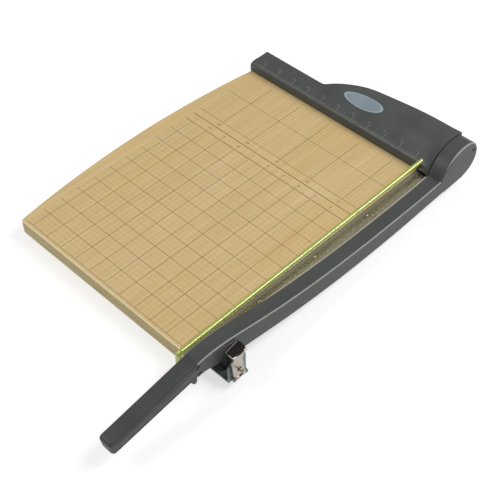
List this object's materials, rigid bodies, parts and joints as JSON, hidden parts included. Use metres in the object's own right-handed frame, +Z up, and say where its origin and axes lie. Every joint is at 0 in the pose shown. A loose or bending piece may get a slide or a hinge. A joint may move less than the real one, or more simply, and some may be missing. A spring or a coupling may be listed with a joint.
{
  "type": "guillotine paper cutter",
  "caption": "Desk guillotine paper cutter: ruled wooden board, fixed edge knife, rear scale housing, lime guard rod and a curved hinged blade arm with a drooping grip and a side latch.",
  "frame": {"origin": "on the table, under the middle of the whole cutter with the arm down", "axes": "+X from the board towards the arm, +Y from the operator's side to the scale housing, +Z up"},
  "size_m": [0.355, 0.5853, 0.0648],
  "materials": {
    "board_wood": "satin varnished maple",
    "knife_steel": "ground, slightly browned",
    "blade_steel": "ground",
    "screw_steel": "plain",
    "zinc_steel": "zinc plated",
    "spring_steel": "oil blackened",
    "bearing_brass": "turned",
    "housing_paint": "satin",
    "badge_paint": "satin",
    "arm_paint": "semi-gloss",
    "grip_plastic": "fine grained",
    "rod_lime": "gloss coated steel",
    "bracket_paint": "satin",
    "latch_steel": "bright plated",
    "pad_plastic": "soft",
    "black_rubber": "matte"
  },
  "bodies": {
    "base": {"arm_bumper": "black_rubber", "balance_spring": "spring_steel", "baseboard": "board_wood", "bed_knife": "knife_steel", "bed_knife_screws": "screw_steel", "blank_badge": "badge_paint", "foot_screws": "screw_steel", "front_left_foot": "black_rubber", "front_right_foot": "black_rubber", "guard_rod": "rod_lime", "housing_screws": "screw_steel", "latch_bracket": "bracket_paint", "latch_bracket_screws": "screw_steel", "latch_guide_pin": "latch_steel", "latch_hinge_pin": "zinc_steel", "latch_spring": "spring_steel", "pivot_bracket": "zinc_steel", "pivot_bracket_screws": "screw_steel", "pivot_bushing": "bearing_brass", "rear_left_foot": "black_rubber", "rear_right_foot": "black_rubber", "rod_clip": "zinc_steel", "rod_clip_screws": "screw_steel", "rod_push_nut": "zinc_steel", "scale_housing": "housing_paint"},
    "arm": {"cutting_arm": "arm_paint", "moving_blade": "blade_steel", "blade_screws": "screw_steel", "handle_grip": "grip_plastic", "handle_screws": "screw_steel", "pivot_shaft": "zinc_steel", "thrust_washer": "bearing_brass", "spring_arbor": "zinc_steel", "spring_washers": "zinc_steel", "tension_spring": "spring_steel", "lock_nut": "zinc_steel", "head_set_screw": "screw_steel"},
    "latch": {"latch_plate": "latch_steel", "latch_thumb_pad": "pad_plastic"}
  },
  "joints": [
    {"name": "arm_pivot", "type": "hinge", "parent": "base", "child": "arm", "pos_m": [0.1349, 0.26981, 0.04105], "axis": [-1, 0, 0], "range_deg": [0, 60]},
    {"name": "latch_hinge", "type": "hinge", "parent": "base", "child": "latch", "pos_m": [0.1699, -0.13119, 0.01305], "axis": [0, 1, 0], "range_deg": [-3.2, 14], "stiffness_Nm_per_rad": 0.06}
  ]
}
